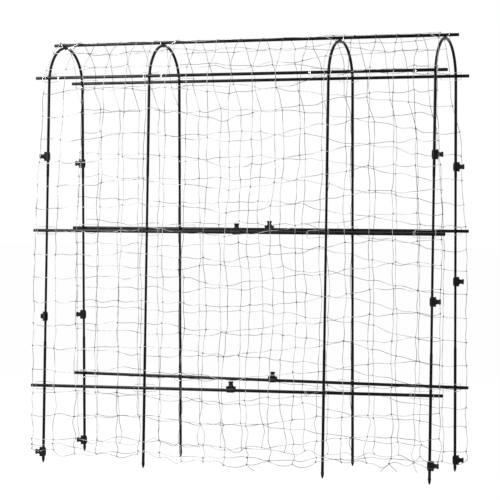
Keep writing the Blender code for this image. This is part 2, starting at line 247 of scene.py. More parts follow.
def makeFinish(look):
    # Two tones, and what the look has of worn edges, scuffs and dust. Moulded plastic isn't
    # roughened where it is rubbed, because its whole skin is rough.
    material, tree, shader = newMaterial(look["name"], look["shader"])
    grain = useGroup(tree, grainGroup, **look["grain"])
    tone = grain.outputs["Tone"]
    colour = mixColour(tree, tone, look["first"], look["second"])
    rough = remap(tree, tone, 0, 1, *look["roughness"])
    if "wornEdge" in look:
        edge = node(tree, "NewGeometry").outputs["Pointiness"]
        colour = mixColour(tree, remap(tree, edge, *look["wornEdge"]), colour, look["worn"])
    if "scuffs" in look:
        scuff = useGroup(tree, scuffGroup, **look["scuffs"])
        colour = mixColour(tree, scuff.outputs["Scratch"], colour, look["worn"])
        if "wornEdge" not in look:
            rough = combine(tree, "MAXIMUM", rough, scuff.outputs["Rub"])
    if "dust" in look:
        dust = useGroup(tree, dustGroup, Amount=look["dustAmount"])
        colour = mixColour(tree, dust.outputs["Mask"], colour, look["dust"])
    dress(tree, shader, colour, rough, grain.outputs["Height"], look["relief"])
    return material


yarnSkin = {
    "grain": {"Scale": 2600.0, "Slow": 9.0},
    "roughness": (0.62, 0.82),
    "shader": {"Specular IOR Level": 0.25, "Sheen Weight": 0.15},
    "relief": (0.5, 0.2 * mm),
    "bandAtScaleOne": 0.31,  # Width of a wave pattern's band at scale 1, in metres
}
twineLook = {
    **yarnSkin,
    "name": "netTwine",
    "pale": (0.385, 0.388, 0.382, 1),
    "deep": (0.035, 0.036, 0.035, 1),
    # Painted shade: how dark the colour goes in the lay's grooves
    "groove": 0.75,
    "twist": 0.0016,
}
# The knots use a much darker copy of the net's twine: painted shade in the tight knots
knotShadeLook = {
    **yarnSkin,
    "name": "netKnotTwineShaded",
    "pale": (0.034, 0.038, 0.032, 1),
    "deep": (0.012, 0.014, 0.011, 1),
    # Painted shade: how dark the colour goes in the lay's grooves
    "groove": 0.8,
    "twist": 0.0012,
}


def makeTwine(look):
    # The yarn's lay is a diagonal band, which crosses upright and level strands alike.
    material, tree, shader = newMaterial(look["name"], look["shader"])
    place = node(tree, "TexCoord").outputs["Object"]
    scale = look["bandAtScaleOne"] / look["twist"]
    lay = node(
        tree,
        "TexWave",
        {"Vector": place, "Scale": scale, "Distortion": 0.6, "Detail": 1.0},
        bands_direction="DIAGONAL",
    )
    grain = useGroup(tree, grainGroup, **look["grain"])
    patch = remap(tree, grain.outputs["Tone"], 0.25, 0.75)
    colour = mixColour(tree, patch, look["pale"], look["deep"])
    # The colour is darkened in the lay's grooves, which is painted shade for the yarn's twist.
    shade = remap(tree, lay.outputs[0], 0.0, 0.6, look["groove"], 1.0)
    grooveShaded = mixColour(tree, 1.0, colour, shade, blend="MULTIPLY")
    rough = remap(tree, grain.outputs["Height"], 0.3, 0.7, *look["roughness"])
    dress(tree, shader, grooveShaded, rough, lay.outputs[0], look["relief"])
    return material


coatedSteel = makeFinish(coatedSteelLook)
bareSteel = makeFinish(bareSteelLook)
clipPlastic = makeFinish(clipPlasticLook)
spikePlastic = makeFinish(spikePlasticLook)
springWire = makeFinish(springWireLook)
netTwine = makeTwine(twineLook)
shadedKnotTwine = makeTwine(knotShadeLook)
print("tunnel: materials made")


# Where things are on the hoops, as in the CAD. A hoop's outline is its tube's centreline.

outline = {
    "apexHeight": 1.800,
    "archRadius": 0.166,
    "footHalfWidth": 0.207,
    "stations": (-0.857, -0.387, 0.410, 0.860),
    "lowerBarHeight": 0.354,
    "upperBarAngle": math.radians(7.6),
    "barShifts": {"middle_front": -4.5 * mm, "middle_back": 5.5 * mm, "lower_front": -9.5 * mm},
    "barSlopes": {"lower_front": math.radians(0.78)},
    "touch": 0.3 * mm,
}
hoopTube = {
    "radius": 6.0 * mm,
    "bore": 5.5 * mm,
    "middleRadius": 5.2 * mm,
    "middleBore": 4.7 * mm,
    "archTail": 0.403,
    "lowerLeg": 0.495,
    "insertion": 50 * mm,
    "bead": 3 * mm,
    "beadRounding": 1.2 * mm,
    "spikeReach": 25.3 * mm,
    "rim": 0.2 * mm,
    "sides": 28,
    "archSteps": 48,
}
barTube = {"radius": 6.75 * mm, "bore": 6.25 * mm, "length": 1.826, "rim": 0.2 * mm, "sides": 32}

archRadius = outline["archRadius"]
archCentre = outline["apexHeight"] - archRadius
splay = math.atan2(outline["footHalfWidth"], archCentre) - math.asin(
    archRadius / math.hypot(archCentre, outline["footHalfWidth"])
)
footHeight = hoopTube["spikeReach"] * math.cos(splay)
lowerJointHeight = footHeight + hoopTube["lowerLeg"] * math.cos(splay)
archEndHeight = archCentre + archRadius * math.sin(splay) - hoopTube["archTail"] * math.cos(splay)
upperBarHeight = archCentre + archRadius * math.sin(outline["upperBarAngle"])
barHeights = {"lower": outline["lowerBarHeight"], "upper": upperBarHeight}
barHeights["middle"] = (barHeights["lower"] + barHeights["upper"]) / 2
barOffset = hoopTube["radius"] + outline["touch"] + barTube["radius"]


def legPoint(side, height, outwards=0.0):
    halfWidth = outline["footHalfWidth"] - height * math.tan(splay)
    y = side * (halfWidth + outwards * math.cos(splay))
    return Vector((0, y, height + outwards * math.sin(splay)))


def archPoint(side, angle, radius):
    return Vector((0, side * radius * math.cos(angle), archCentre + radius * math.sin(angle)))


def legFrame(side, height):
    return Matrix.Translation(legPoint(side, height)) @ Matrix.Rotation(side * splay, 4, "X")


def crossing(level, name, x=0.0):
    # The hoops' centreline under a bar, this far along it. X runs along the bar and Z outwards,
    # so Y runs along the hoop.
    side = sides[name]
    slope = 0.0
    if level in ("ridge", "upper"):
        angle = math.pi / 2 if level == "ridge" else outline["upperBarAngle"]
        point = archPoint(side, angle, archRadius)
    else:
        angle = splay
        shift = outline["barShifts"].get(f"{level}_{name}", 0.0)
        point = legPoint(side, barHeights[level] + shift)
        slope = outline["barSlopes"].get(f"{level}_{name}", 0.0)
    outwards = Vector((0, side * math.cos(angle), math.sin(angle)))
    turned = Matrix.Rotation(-side * slope, 3, outwards)
    along = turned @ Vector((1, 0, 0))
    axes = Matrix((along, outwards.cross(along), outwards)).transposed()
    return Matrix.Translation(point + along * x) @ axes.to_4x4()


# Object and mesh helpers

def newObject(name, data):
    made = bpy.data.objects.new(name, data)
    bpy.context.scene.collection.objects.link(made)
    return made


def only(geom, kind):
    return [item for item in geom if isinstance(item, kind)]


def finishMesh(bm, name, materials, place=None, sharp=40):
    if place is not None:
        bmesh.ops.transform(bm, matrix=place, verts=bm.verts)
    mesh = bpy.data.meshes.new(name)
    bm.to_mesh(mesh)
    bm.free()
    for material in materials:
        mesh.materials.append(material)
    mesh.shade_smooth()
    mesh.set_sharp_from_angle(angle=math.radians(sharp))
    return mesh


def addPiece(name, mesh, nodes=(), slot=None, body=mainBody):
    piece = newObject(name, mesh)
    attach(piece, body)
    if nodes:
        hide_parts(*nodes)


def revolve(profile, segments, closed=True):
    # Turns a profile of (radius, height, rounding) about Z, with its corners rounded first.
    bm = bmesh.new()
    corners = [bm.verts.new((radius, 0, z)) for radius, z, _ in profile]
    for pair in zip(corners, corners[1:]):
        bm.edges.new(pair)
    if closed:
        bm.edges.new((corners[-1], corners[0]))
    for size in sorted({rounding for _, _, rounding in profile if rounding}):
        chosen = [c for c, (_, _, rounding) in zip(corners, profile) if rounding == size]
        bmesh.ops.bevel(
            bm, geom=chosen, offset=size, segments=4, profile=0.5, affect="VERTICES", material=-1
        )
    bmesh.ops.spin(
        bm,
        geom=bm.verts[:] + bm.edges[:],
        axis=(0, 0, 1),
        angle=2 * math.pi,
        steps=segments,
        use_merge=True,
    )
    bmesh.ops.remove_doubles(bm, verts=bm.verts, dist=mergeDistance)
    bmesh.ops.recalc_face_normals(bm, faces=bm.faces)
    return bm


def curveMesh(name, paths, thickness, material, closed=False, resolution=1):
    # A round wire or strand along each path, as a mesh
    curve = bpy.data.curves.new(name, "CURVE")
    curve.dimensions = "3D"
    curve.bevel_depth = thickness / 2
    curve.bevel_resolution = resolution
    curve.use_fill_caps = True
    for path in paths:
        spline = curve.splines.new("POLY")
        spline.points.add(len(path) - 1)
        spline.points.foreach_set("co", [value for point in path for value in (*point, 1)])
        spline.use_cyclic_u = closed
    holder = newObject(name, curve)
    graph = bpy.context.evaluated_depsgraph_get()
    mesh = bpy.data.meshes.new_from_object(holder.evaluated_get(graph))
    bpy.data.objects.remove(holder)
    bpy.data.curves.remove(curve)
    mesh.materials.clear()
    mesh.materials.append(material)
    mesh.shade_smooth()
    return mesh


def roundCorners(corners, radius, steps=5, share=0.48):
    # The same open line of points with each inner corner turned into a short curve, which
    # takes up no more than this share of a side
    path = [corners[0]]
    for before, corner, after in zip(corners, corners[1:], corners[2:]):
        cut = min(radius, (before - corner).length * share, (after - corner).length * share)
        first = corner + (before - corner).normalized() * cut
        last = corner + (after - corner).normalized() * cut
        for step in range(steps + 1):
            t = step / steps
            path.append(first.lerp(corner, t).lerp(corner.lerp(last, t), t))
    return path + [corners[-1]]


def openTubeBm(size, low, high):
    # A straight tube, with its outer edges eased at both ends
    radius, bore, rim = size["radius"], size["bore"], size["rim"]
    profile = [(radius, low, rim), (radius, high, rim), (bore, high, 0), (bore, low, 0)]
    return revolve(profile, size["sides"])


# Hoops: four arches, with a middle tube and a lower tube down each leg

def archMesh(x):
    bm = bmesh.new()
    start = legFrame(-1, archEndHeight)
    up = start.to_3x3() @ Vector((0, 0, hoopTube["archTail"]))
    for radius in (hoopTube["radius"], hoopTube["bore"]):
        bmesh.ops.create_circle(bm, segments=hoopTube["sides"], radius=radius, matrix=start)
    bmesh.ops.bridge_loops(bm, edges=bm.edges[:])
    end = bm.verts[:] + bm.edges[:] + bm.faces[:]

    def carryOn(end, step):
        end = bmesh.ops.extrude_face_region(bm, geom=end)["geom"]
        bmesh.ops.translate(bm, verts=only(end, BMVert), vec=step)
        return end

    end = carryOn(end, up)
    end = bmesh.ops.spin(
        bm,
        geom=end,
        cent=(0, 0, archCentre),
        axis=(-1, 0, 0),
        angle=math.pi - 2 * splay,
        steps=hoopTube["archSteps"],
    )["geom_last"]
    carryOn(end, Vector((0, up.y, -up.z)))
    bmesh.ops.recalc_face_normals(bm, faces=bm.faces)
    return finishMesh(bm, "archTube", [coatedSteel], Matrix.Translation((x, 0, 0)))


def middleLegBm():
    # Rolled beads stop the tube in the arch above and in the lower tube.
    radius, bore, bead = hoopTube["middleRadius"], hoopTube["middleBore"], hoopTube["bead"]
    beadRadius, rounding = hoopTube["radius"], hoopTube["beadRounding"]
    gap = (archEndHeight - lowerJointHeight) / math.cos(splay)
    low, high = -hoopTube["insertion"], gap + hoopTube["insertion"]
    profile = [(bore, low, 0), (radius, low, 0)]
    for start in (outline["touch"], gap - outline["touch"] - bead):
        profile += [
            (radius, start, 0),
            (beadRadius, start, rounding),
            (beadRadius, start + bead, rounding),
            (radius, start + bead, 0),
        ]
    profile += [(radius, high, 0), (bore, high, 0)]
    return revolve(profile, hoopTube["sides"])


spike = {
    "shank": 20 * mm,
    "shankRadius": 5.2 * mm,
    "shankRounding": 1.0 * mm,
    "collar": 4.0 * mm,
    "collarRadius": 7.0 * mm,
    "collarRounding": 0.8 * mm,
    "cone": 20.9 * mm,
    "coneRadius": 6.7 * mm,
    "coneBulge": 1.9,
    "coneSteps": 7,
    "tipRadius": 1.9 * mm,
    "tipRounding": 1.1 * mm,
    # Down the cone: the groove's top edge, its floor from and to, and its lower edge
    "grooveAt": (2.0 * mm, 2.4 * mm, 3.4 * mm, 3.8 * mm),
    "groove": 0.5 * mm,
    "edge": 0.2 * mm,
    "crease": 0.1 * mm,
}


def spikeBm():
    # A plug, a collar under the tube's foot, and a bullet point with a moulded groove at its root
    size, touch = spike, outline["touch"]
    collarLow = -touch - size["collar"]
    tip = collarLow - size["cone"]

    def onCone(depth, inset=0.0):
        taper = (depth / size["cone"]) ** size["coneBulge"]
        radius = size["coneRadius"] - (size["coneRadius"] - size["tipRadius"]) * taper
        return radius - inset, collarLow - depth

    top, floorTop, floorEnd, end = size["grooveAt"]
    steps = range(2, size["coneSteps"])
    profile = [
        (0, size["shank"], 0),
        (size["shankRadius"], size["shank"], size["shankRounding"]),
        (size["shankRadius"], -touch, 0),
        (size["collarRadius"], -touch, size["collarRounding"]),
        (size["collarRadius"], collarLow, size["collarRounding"]),
        (*onCone(0), size["edge"]),
        (*onCone(top), size["edge"]),
        (*onCone(floorTop, size["groove"]), size["crease"]),
        (*onCone(floorEnd, size["groove"]), size["crease"]),
        (*onCone(end), size["edge"]),
        *[(*onCone(size["cone"] * step / size["coneSteps"]), 0) for step in steps],
        (size["tipRadius"], tip, size["tipRounding"]),
        (0, tip, 0),
    ]
    return revolve(profile, hoopTube["sides"], closed=False)


def buildHoops():
    for number, x in enumerate(outline["stations"], 1):
        addPiece(f"arch_tube_{number}", archMesh(x), [f"hoop_arch_{number}"], "tube")
        for name, side in sides.items():
            along = Matrix.Translation((x, 0, 0))
            foot = along @ legFrame(side, footHeight)
            joint = along @ legFrame(side, lowerJointHeight)
            lowerLeg = openTubeBm(hoopTube, 0, hoopTube["lowerLeg"])
            for piece, bm, material, place, slot in (
                ("middle_leg", middleLegBm(), coatedSteel, joint, "tube"),
                ("lower_leg", lowerLeg, coatedSteel, foot, "tube"),
                ("ground_spike", spikeBm(), spikePlastic, foot, "spike"),
            ):
                label = f"{name}_{number}"
                mesh = finishMesh(bm, piece, [material], place)
                addPiece(f"{piece}_piece_{label}", mesh, [f"{piece}_{label}"], slot)
    print("tunnel: hoops made")


# Bars: straight tubes with open ends, bare steel inside

def barMesh(place):
    half = barTube["length"] / 2
    bm = openTubeBm(barTube, -half, half)
    for face in bm.faces:
        middle = face.calc_center_median()
        face.material_index = int(math.hypot(middle.x, middle.y) < barTube["bore"] + hair)
    return finishMesh(bm, "barTube", [coatedSteel, bareSteel], place)


def buildBars():
    lengthways = Matrix.Rotation(math.pi / 2, 4, "Y")
    for level in ("ridge", "upper", "middle", "lower"):
        for name in sides:
            if level == "ridge" and name == "front":
                continue
            place = crossing(level, name) @ Matrix.Translation((0, 0, barOffset)) @ lengthways
            old = "ridge_bar" if level == "ridge" else f"{level}_bar_{name}"
            addPiece(old.replace("bar", "bar_tube"), barMesh(place), [old], "tube")
    print("tunnel: bars made")


# Net clips: a jaw with flared lips, a saddle and a waisted knob, moulded in one

netClip = {
    "length": 39 * mm,
    "lipLength": 25 * mm,
    "wall": 1.8 * mm,
    "mouth": math.radians(104),
    "running": 0.3 * mm,
    "slack": 0.1 * mm,
    "jawSteps": 24,
    # Each step of a lip reaches this far, and flares by this share of it.
    "lipSteps": ((1.6 * mm, 0.15), (2.4 * mm, 0.5)),
    "lipEndShare": 0.25,
    "lipWayBack": (1.77, 0.63),
    "saddleWidth": 13 * mm,
    "shoulder": 10 * mm,
    "shoulderFlare": 1.0 * mm,
    # Where the section stops on its way along the tube, in millimetres
    "stops": (-19.5, -16.5, -12.5, -9.5, -4.5, 0, 4.5, 9.5, 12.5, 16.5, 19.5),
    # Height over the shoulder, half length and half width, in millimetres
    "knob": (
        (0.0, 14.5, 6.0),
        (1.2, 12.6, 5.8),
        (3.0, 11.0, 5.6),
        (5.0, 9.8, 5.35),
        (7.0, 9.2, 5.2),
        (10.0, 8.9, 5.15),
        (13.0, 8.8, 5.2),
        (14.0, 9.8, 6.0),
        (15.0, 11.3, 7.0),
        (17.2, 11.4, 7.0),
        (19.3, 11.1, 7.0),
        (20.1, 10.7, 6.7),
        (20.5, 10.0, 6.0),
    ),
    "knobCorner": 0.35,
    # Rim and depth of the pockets and of the dimple in the knob's top
    "pocket": (0.9 * mm, -0.7 * mm),
    "dimple": (1.3 * mm, -0.6 * mm),
    # The neck's pocket from and to, over the shoulder, and each pocket's half length
    "neckPocket": (4 * mm, 13.5 * mm, 7.5 * mm),
    "saddlePocket": 13 * mm,
    "flankFrom": 4.5 * mm,
    "flankFacing": 0.9,
    "edge": 0.35 * mm,
    "sharpFrom": math.radians(34),
    "turns": {"hoop_1_front_upper": math.radians(-20), "hoop_1_front_middle": math.radians(36)},
}


def fromAxis(corner):
    return math.hypot(corner.co.x, corner.co.y)


def drawSection(bm, bore, outside, shoulder):
    # The jaw's section is a short edge turned about the tube. Its ends run on into the lips,
    # and its back goes out to the shoulder.
    size = netClip
    low, halfWidth = -size["length"] / 2, size["saddleWidth"] / 2
    wrap = math.pi - size["mouth"] / 2
    turned = Matrix.Rotation(-wrap, 4, "Z")
    ends = [bm.verts.new(turned @ Vector((radius, 0, low))) for radius in (bore, outside)]
    across = bm.edges.new(ends)
    bmesh.ops.spin(
        bm, geom=[*ends, across], axis=(0, 0, 1), angle=2 * wrap, steps=size["jawSteps"]
    )
    lips, saddle = [], []
    for edge in [edge for edge in bm.edges if edge.is_boundary]:
        if abs(fromAxis(edge.verts[0]) - fromAxis(edge.verts[1])) > size["wall"] / 2:
            lips.append(edge)
        elif all(
            corner.co.x > 0
            and abs(corner.co.y) < halfWidth + size["slack"]
            and fromAxis(corner) > outside - size["slack"]
            for corner in edge.verts
        ):
            saddle.append(edge)
    for lip in lips:
        sign = 1 if lip.verts[0].co.y > 0 else -1
        for reach, flare in size["lipSteps"]:
            made = bmesh.ops.extrude_edge_only(bm, edges=[lip])["geom"]
            step = (-reach, sign * flare * reach, 0)
            bmesh.ops.translate(bm, verts=only(made, BMVert), vec=step)
            lip = only(made, BMEdge)[0]
    for share in (0.5, 1.0):
        made = bmesh.ops.extrude_edge_only(bm, edges=saddle)["geom"]
        widest = max(abs(corner.co.y) for corner in only(made, BMVert))
        for corner in only(made, BMVert):
            corner.co.x += (shoulder - corner.co.x) * share
            corner.co.y *= halfWidth / widest
        saddle = only(made, BMEdge)


def runAlongTube(bm, shoulder):
    # The section runs along the tube in a few steps, and its lips are shorter near the ends.
    size = netClip
    layer = bm.verts[:] + bm.edges[:] + bm.faces[:]
    for low, high in zip(size["stops"], size["stops"][1:]):
        layer = bmesh.ops.extrude_face_region(bm, geom=layer)["geom"]
        bmesh.ops.translate(bm, verts=only(layer, BMVert), vec=(0, 0, (high - low) * mm))
    half, halfLip = size["length"] / 2, size["lipLength"] / 2
    wrap = math.pi - size["mouth"] / 2
    wayBack, wayIn = size["lipWayBack"]
    for corner in bm.verts:
        x, y, z = corner.co
        past = -x * math.sin(wrap) + abs(y) * math.cos(wrap)
        if past > hair:
            t = max(0.0, abs(z) - halfLip) / (half - halfLip)
            drop = (1 - size["lipEndShare"]) * (1 - math.cos(math.pi * t)) / 2
            corner.co.x += past * wayBack * drop
            corner.co.y -= math.copysign(past * wayIn * drop, y)
        if abs(x - shoulder) < hair and abs(abs(z) - half) < hair:
            corner.co.z += math.copysign(size["shoulderFlare"], z)
    bmesh.ops.recalc_face_normals(bm, faces=bm.faces)


def drawKnob(bm, shoulder):
    # The knob is drawn up from the shoulder, ring by ring. The faces go in with their edges
    # and corners, so that no wall stays behind inside.
    size = netClip
    top = [face for face in bm.faces if all(abs(v.co.x - shoulder) < hair for v in face.verts)]
    geom = list(dict.fromkeys(item for f in top for item in (f, *f.edges, *f.verts)))
    lastAlong, lastAcross = size["length"] / 2, size["saddleWidth"] / 2
    rounding = size["knobCorner"]
    for number, (rise, along, wide) in enumerate(size["knob"]):
        geom = bmesh.ops.extrude_face_region(bm, geom=geom)["geom"]
        for corner in only(geom, BMVert):
            corner.co.x = shoulder + rise * mm
            u = max(-1.0, min(1.0, corner.co.y / lastAcross))
            w = max(-1.0, min(1.0, corner.co.z / lastAlong))
            if number == 0:
                u, w = u * math.sqrt(1 - rounding * w * w), w * math.sqrt(1 - rounding * u * u)
            corner.co.y = u * wide * mm
            corner.co.z = w * along * mm
        lastAlong, lastAcross = along * mm, wide * mm
    bmesh.ops.recalc_face_normals(bm, faces=bm.faces)
    # Its top becomes one face, so that the dimple's rim meets no inner corner.
    top = bmesh.ops.dissolve_faces(bm, faces=only(geom, BMFace))["region"]
    rim, depth = size["dimple"]
    bmesh.ops.inset_region(bm, faces=top, thickness=rim, depth=depth, use_even_offset=True)


def sinkPockets(bm, outside, shoulder):
    # Shallow pockets in the neck's and the saddle's flanks keep the walls even.
    size = netClip
    rim, depth = size["pocket"]
    neckLow, neckHigh, neckReach = size["neckPocket"]
    zones = (
        (shoulder + neckLow, shoulder + neckHigh, neckReach),
        (outside, shoulder, size["saddlePocket"]),
    )
    bm.normal_update()
    for low, high, reach in zones:
        for sign in (-1, 1):
            flank = []
            for face in bm.faces:
                middle = face.calc_center_median()
                upright = sign * face.normal.y > size["flankFacing"]
                outer = sign * middle.y > size["flankFrom"]
                if upright and outer and low < middle.x < high and abs(middle.z) < reach:
                    flank.append(face)
            bmesh.ops.inset_region(bm, faces=flank, thickness=rim, depth=depth)


def clipMesh(tubeRadius, place):
    size = netClip
    bm = bmesh.new()
    bore = tubeRadius + size["running"]
    outside = bore + size["wall"]
    shoulder = tubeRadius + size["shoulder"]
    drawSection(bm, bore, outside, shoulder)
    runAlongTube(bm, shoulder)
    drawKnob(bm, shoulder)
    sinkPockets(bm, outside, shoulder)
    bm.normal_update()
    bmesh.ops.bevel(
        bm,
        geom=[e for e in bm.edges if e.is_manifold and e.calc_face_angle() > size["sharpFrom"]],
        offset=size["edge"],
        segments=2,
        profile=0.5,
        affect="EDGES",
        material=-1,
        clamp_overlap=True,
    )
    bmesh.ops.remove_doubles(bm, verts=bm.verts, dist=mergeDistance)
    return finishMesh(bm, "netClip", [clipPlastic], place, sharp=50)


def clipPlaces():
    # Each clip's name, tube and place. Its own Z runs along the tube and its X to the knob.
    centres = {joint["name"]: Vector(joint["pos_m"]) for joint in frame["joints"]}
    for number, out, sense in ((1, math.pi, 1), (4, 0.0, -1)):
        for name, side in sides.items():
            for level in ("upper", "middle", "lower"):
                label = f"hoop_{number}_{name}_{level}"
                centre = centres[f"clip_{label}_turn"]
                halfClip = netClip["length"] / 2
                onMiddle = lowerJointHeight + halfClip < centre.z < archEndHeight - halfClip
                radius = hoopTube["middleRadius"] if onMiddle else hoopTube["radius"]
                turn = out + sense * side * netClip["turns"].get(label, 0.0)
                lean = Matrix.Rotation(side * splay, 4, "X")
                place = Matrix.Translation(centre) @ lean @ Matrix.Rotation(turn, 4, "Z")
                yield label, radius, place
    upright = Matrix(((0, 0, 1), (0, -1, 0), (1, 0, 0)))
    for level in ("middle", "lower"):
        for name, side in sides.items():
            label = f"{level}_bar_{name}"
            outwards = crossing(level, name).to_3x3().col[2]
            slope = -side * outline["barSlopes"].get(f"{level}_{name}", 0.0)
            turned = Matrix.Rotation(slope, 3, outwards) @ upright
            place = Matrix.Translation(centres[f"clip_{label}_turn"]) @ turned.to_4x4()
            yield label, barTube["radius"], place


def buildClips():
    for label, radius, place in clipPlaces():
        mesh = clipMesh(radius, place)
        addPiece(f"clip_piece_{label}", mesh, [f"net_clip_{label}"], "clip", f"clip_{label}")
    print("tunnel: net clips made")


# Wire cross clips: one spring wire at each crossing holds the bar against the hoop. Its long
# sides pass behind the hoop, and its ends cross over the bar.

wireClip = {
    "wire": 1.9 * mm,
    "halfHeight": 15.5 * mm,
    "corner": 5 * mm,
    "doubleEnd": 6.5 * mm,
    "endReach": 9 * mm,
    "overBar": 0.1 * mm,
    "underHoop": 0.15 * mm,
    "underArch": 0.8 * mm,
    "besideHoop": 2.2 * mm,
    "anyTilt": 1.6,
    # How far each of the four reaches along the bar from its hoop, in millimetres
    "reach": {
        "ridge_back": ((-16, 71), (-16, 66), (-67, 18), (-72, 19)),
        "upper_front": ((-22, 55), (-18, 66), (-78, 16), (-82, 16)),
        "middle_front": ((-34, 57), (-27, 64), (-78, 16), (-76, 17)),
        "lower_front": ((-30, 55), (-37, 62), (-74, 18), (-80, 18)),
        "upper_back": ((-20, 66), (-20, 64), (-72, 18), (-76, 18)),
        "middle_back": ((-28, 60), (-24, 64), (-74, 18), (-74, 20)),
        "lower_back": ((-26, 62), (-38, 54), (-70, 22), (-76, 18)),
    },
    "tilt": {"middle_front_3": 5.0, "lower_back_2": -3.0},
}


def wirePath(level, name, hoopX, reach, tilt):
    size = wireClip
    place = crossing(level, name, hoopX) @ Matrix.Rotation(math.radians(tilt), 4, "Z")
    radius = hoopTube["middleRadius"] if level == "middle" else hoopTube["radius"]
    over = barOffset + barTube["radius"] + size["wire"] / 2 + size["overBar"]
    curved = size["underArch"] if level in ("ridge", "upper") else 0.0
    under = -(radius + size["wire"] / 2 + size["underHoop"] + curved)
    high, gap, end = size["halfHeight"], size["doubleEnd"], size["endReach"]
    low, far = (value * mm for value in reach)
    # The two ends of the wire lie side by side at the longer reach.
    sense = 1
    if far < -low:
        low, far, sense = far, low, -1
    leg = sense * (radius + size["besideHoop"])
    spots = [
        (far - sense * gap, -end, over),
        (far - sense * gap, high, over),
        (leg, high, under),
        (-leg, high, under),
        (low, high, over),
        (low, -high, over),
        (-leg, -high, under),
        (leg, -high, under),
        (far, -high, over),
        (far, end, over),
    ]
    return roundCorners([place @ Vector(spot) for spot in spots], size["corner"])


def buildWireClips():
    for label, reaches in wireClip["reach"].items():
        level, name = label.split("_")
        for number, (hoopX, reach) in enumerate(zip(outline["stations"], reaches), 1):
            anyTilt = random.uniform(-wireClip["anyTilt"], wireClip["anyTilt"])
            tilt = wireClip["tilt"].get(f"{label}_{number}", anyTilt)
            path = wirePath(level, name, hoopX, reach, tilt)
            mesh = curveMesh("wireClip", [path], wireClip["wire"], springWire, resolution=3)
            addPiece(f"wire_clip_{label}_{number}", mesh)
    print("tunnel: wire clips made")


# Net: knotted strands over the bars, from the ground at the front to the ground at the back

net = {
    "columns": 18,
    "columnStep": 0.1,
    "halfLength": 0.900,
    "rowStep": 0.099,
    "rowsFront": {"hem": 0.034, "lowest": 0.014, "count": 17, "roof": (0.041, 0.140, 0.239)},
    "rowsBack": {"hem": 0.046, "lowest": 0.149, "count": 15, "roof": (-0.020, 0.079, 0.178)},
    "strand": 2.05 * mm,
    "knotStrand": 2.3 * mm,
    "knotSize": 2.5 * mm,
    "knotProud": 0.3 * mm,
    # Where it lies: off the legs, round the ridge, on the arches and between them
    "rest": 7.82 * mm,
    "restRadius": 187.0 * mm,
    "archTouch": 174.3 * mm,
    "chordRadius": 163.5 * mm,
    "haunchSpan": (9 * mm, 110 * mm),
    "belly": 5.0 * mm,
    "bellySpan": (12 * mm, 130 * mm),
    "overWire": 2.9 * mm,
    "wireSpan": (24 * mm, 60 * mm),
    "wireEndSpan": (6 * mm, 30 * mm),
    "endFlare": 3.5 * mm,
    "endSpan": (0.84, 0.88),
    "offGround": 3 * mm,
    # How a strand hangs from knot to knot, to the side and downwards
    "steps": 7,
    "rowSwing": 1.0 * mm,
    "rowSag": 8.5 * mm,
    "hemSag": 21 * mm,
    "columnSwing": 3.8 * mm,
    "columnSag": 0.6 * mm,
    "hemLoose": 2.2,
    "looseSpan": (0.08, 0.32),
    "shortStretch": 0.08,
    "tailSwing": 2.2 * mm,
    "tailSag": 3 * mm,
    # Cut ends of yarn at the front hem: the knot's column, and how far off the end lies
    "tails": (
        (10, 0.034, -0.024),
        (16, -0.036, -0.034),
        (16, 0.032, -0.030),
        (17, 0.018, -0.038),
    ),
}
# How far its rows stand above their even height, in millimetres, at even steps of x
netRise = {
    "start": -0.8,
    "step": 0.2,
    "front": (-9, 3, 10, 0, -20, 4, 36, 64, 74),
    "frontHem": (24, 8, 20, 14, 8, 18, 26, 48, 44),
    "backLow": (10, 8, 4, -2, 5, -2, -32, -41, -59),
    "backMiddle": (4, 2, -2, 7, 7, -10, -30, -65, -100),
    "backHigh": (5, -5, -10, -5, -8, -20, -50, -80, -114),
    "lowSpan": (0.25, 0.45),
    "highSpan": (0.92, 1.12),
    "overHem": 38 * mm,
    "backHem": 0.07,
    "calmFrom": 1.58,
    "calmRoof": 0.8,
}
# How far its knots stray. Waves are per metre along and round it, with two places in the noise.
netStray = {
    "along": 9.0 * mm,
    "alongWaves": (3.1, 2.2, 0, 0.7),
    "around": 10.0 * mm,
    "aroundWaves": (1.9, 1.5, 9, 3.3),
    "bellyWaves": (2.3, 2.9, 0, 5.1),
    # Each knot's own share, in millimetres
    "alongAny": 5,
    "aroundAny": 9,
    "roofAny": 9,
    "roofSpan": (1.58, 1.75),
    "endCalm": 0.5,
    "clipColumns": (9, 10),
    "clipCalm": 0.35,
    "betweenBars": (40 * mm, 120 * mm),
    # The middle is pulled to the left, more so beside the middle clips, in millimetres
    "pull": 12.0,
    "pullAtClips": 15.2,
    "clipSpan": (0.06, 0.26),
    "pullColumn": 9.5,
    "pullWidth": 3.0,
    "pullPeak": 0.9726,
    # The ends are drawn in by this much, from and to these heights up the net
    "drawnIn": ((0.030, 1.0, 1.55), (0.016, 1.6, 1.8)),
    "frontRoofShift": 15 * mm,
    "backTopShift": 34 * mm,
    "backTopFrom": 1.56,
    "backRoofShift": 19 * mm,
}
netOffset = barOffset + net["rest"]
upperGirth = upperBarHeight / math.cos(splay)
roofLength = (math.pi / 2 - outline["upperBarAngle"]) * net["restRadius"]
ridgeGirth = upperGirth + roofLength
frontGirths = [barHeights[level] / math.cos(splay) for level in ("lower", "middle", "upper")]
barGirths = [*frontGirths, ridgeGirth]
barGirths += [2 * ridgeGirth - girth for girth in reversed(frontGirths)]


def fade(distance, near, far):
    t = max(0.0, min(1.0, (distance - near) / (far - near)))
    return t * t * (3 - 2 * t)


def smoothNoise(x, girth, waves):
    along, around, alongPlace, place = waves
    return noise.noise(Vector((x * along + alongPlace, girth * around, place)))


def anyWay(reach):
    # A random step of up to this many millimetres either way
    return random.uniform(-reach, reach) * mm


def toGround(girth):
    # How far round the net a place is from the ground on its own side
    return min(girth, 2 * ridgeGirth - girth)


def toBar(girth):
    return min(abs(girth - bar) for bar in barGirths)


